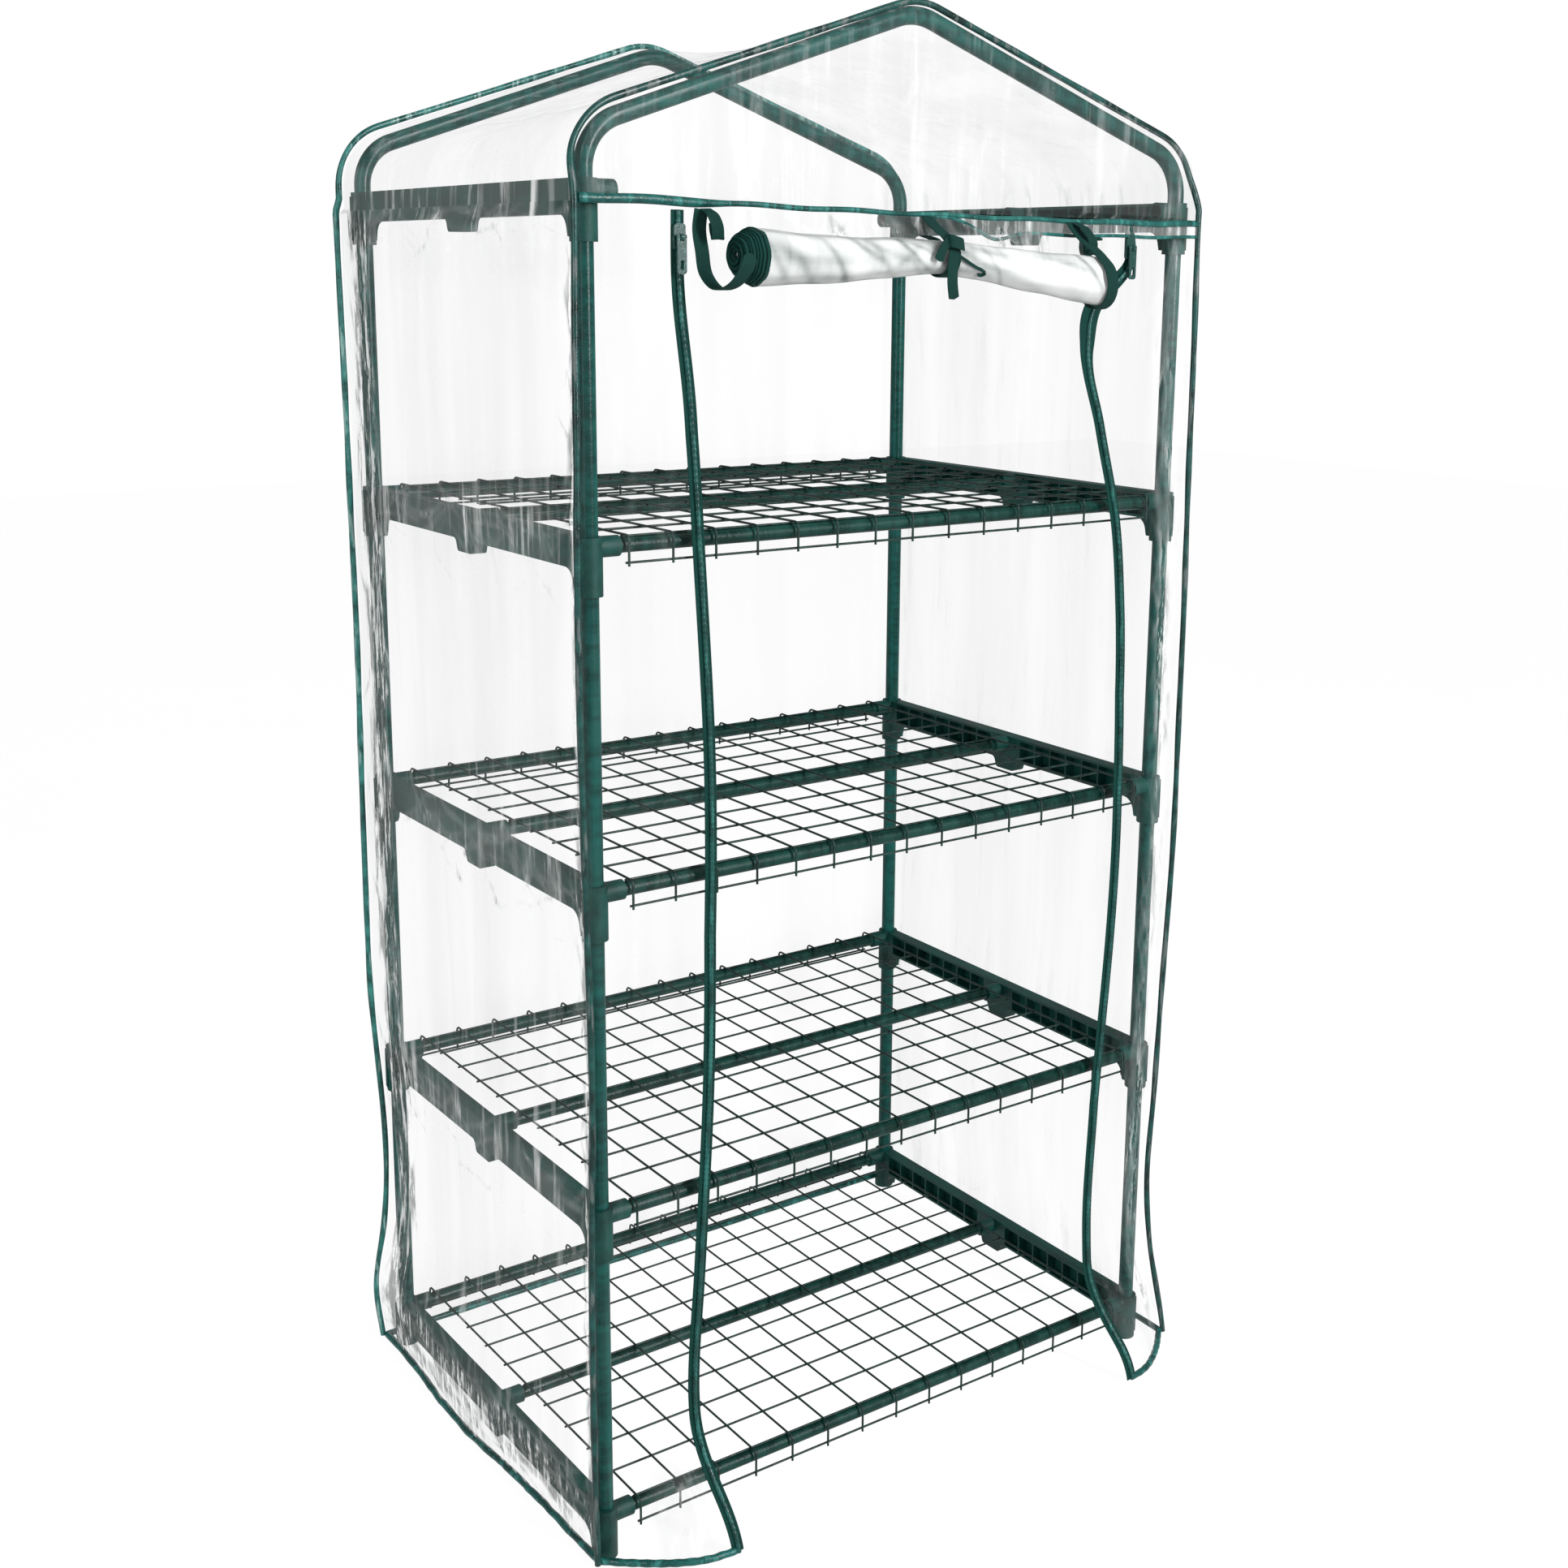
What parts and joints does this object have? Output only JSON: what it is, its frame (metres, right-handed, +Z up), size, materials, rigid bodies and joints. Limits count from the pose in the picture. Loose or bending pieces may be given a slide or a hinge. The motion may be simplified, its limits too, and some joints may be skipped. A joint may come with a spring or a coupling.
{
  "type": "mini greenhouse",
  "caption": "Tiered mini greenhouse with a push-fit tube frame, plastic side brackets, lift-off wire shelves and a clear film cover with a roll-up zipped door.",
  "frame": {"origin": "on the ground under the centre of the whole box", "axes": "+Z up, the doorway faces -Y, +X to the right seen from the front"},
  "size_m": [0.7112, 0.5457, 1.4162],
  "materials": {
    "bracket_plastic": "moulded, semi-matte dark green",
    "coated_tube": "glossy green powder coat",
    "coated_wire": "dark green coated wire",
    "clear_film": "clear film",
    "rolled_film": "several layers of clear film",
    "piping": "green welded piping",
    "zip_tape": "woven zip tape with moulded teeth",
    "zip_metal": "green painted die casting",
    "tie_tape": "woven tape"
  },
  "bodies": {
    "frame": {"crossbars_1": "coated_tube", "crossbars_2": "coated_tube", "crossbars_3": "coated_tube", "crossbars_4": "coated_tube", "hoop_front_left": "coated_tube", "hoop_front_right": "coated_tube", "hoop_rear_left": "coated_tube", "hoop_rear_right": "coated_tube", "post_front_left_1": "coated_tube", "post_front_left_2": "coated_tube", "post_front_left_3": "coated_tube", "post_front_left_4": "coated_tube", "post_front_right_1": "coated_tube", "post_front_right_2": "coated_tube", "post_front_right_3": "coated_tube", "post_front_right_4": "coated_tube", "post_rear_left_1": "coated_tube", "post_rear_left_2": "coated_tube", "post_rear_left_3": "coated_tube", "post_rear_left_4": "coated_tube", "post_rear_right_1": "coated_tube", "post_rear_right_2": "coated_tube", "post_rear_right_3": "coated_tube", "post_rear_right_4": "coated_tube", "side_bracket_left_1": "bracket_plastic", "side_bracket_left_2": "bracket_plastic", "side_bracket_left_3": "bracket_plastic", "side_bracket_left_4": "bracket_plastic", "side_bracket_left_5": "bracket_plastic", "side_bracket_right_1": "bracket_plastic", "side_bracket_right_2": "bracket_plastic", "side_bracket_right_3": "bracket_plastic", "side_bracket_right_4": "bracket_plastic", "side_bracket_right_5": "bracket_plastic"},
    "cover": {"corner_piping": "piping", "cover_front_gable": "clear_film", "cover_roof": "clear_film", "cover_wall_left": "clear_film", "cover_wall_rear": "clear_film", "cover_wall_right": "clear_film", "door_film": "clear_film", "front_strip_left": "clear_film", "front_strip_right": "clear_film", "header_piping": "piping", "hem_binding": "piping", "roof_piping": "piping", "tie_centre": "tie_tape", "tie_left": "tie_tape", "tie_right": "tie_tape", "zip_tape_left": "zip_tape", "zip_tape_right": "zip_tape"},
    "door": {"door_roll": "rolled_film"},
    "shelf_1": {"wire_shelf_1": "coated_wire"},
    "shelf_2": {"wire_shelf_2": "coated_wire"},
    "shelf_3": {"wire_shelf_3": "coated_wire"},
    "shelf_4": {"wire_shelf_4": "coated_wire"},
    "slider_left": {"zip_slider_left": "zip_metal"},
    "pull_left": {"zip_pull_left": "zip_metal"},
    "slider_right": {"zip_slider_right": "zip_metal"},
    "pull_right": {"zip_pull_right": "zip_metal"}
  },
  "joints": [
    {"name": "cover_lift", "type": "slide", "parent": "frame", "child": "cover", "axis": [0, 0, 1], "range_m": [0, 1.45]},
    {"name": "door_drop", "type": "slide", "parent": "cover", "child": "door", "axis": [0, 0, -1], "range_m": [0, 1.14], "deforming": ["door_film", "tie_left", "tie_centre", "tie_right"]},
    {"name": "shelf_1_lift", "type": "slide", "parent": "frame", "child": "shelf_1", "axis": [0, 0, 1], "range_m": [0, 0.08]},
    {"name": "shelf_2_lift", "type": "slide", "parent": "frame", "child": "shelf_2", "axis": [0, 0, 1], "range_m": [0, 0.08]},
    {"name": "shelf_3_lift", "type": "slide", "parent": "frame", "child": "shelf_3", "axis": [0, 0, 1], "range_m": [0, 0.08]},
    {"name": "shelf_4_lift", "type": "slide", "parent": "frame", "child": "shelf_4", "axis": [0, 0, 1], "range_m": [0, 0.08]},
    {"name": "zip_left", "type": "slide", "parent": "cover", "child": "slider_left", "axis": [0, 0, -1], "range_m": [0, 1.16]},
    {"name": "pull_left_swing", "type": "hinge", "parent": "slider_left", "child": "pull_left", "pos_m": [-0.2565, -0.22244, 1.204], "axis": [-1, 0, 0], "range_deg": [0, 150]},
    {"name": "zip_right", "type": "slide", "parent": "cover", "child": "slider_right", "axis": [0, 0, -1], "range_m": [0, 1.16]},
    {"name": "pull_right_swing", "type": "hinge", "parent": "slider_right", "child": "pull_right", "pos_m": [0.2565, -0.22244, 1.204], "axis": [-1, 0, 0], "range_deg": [0, 150]}
  ]
}
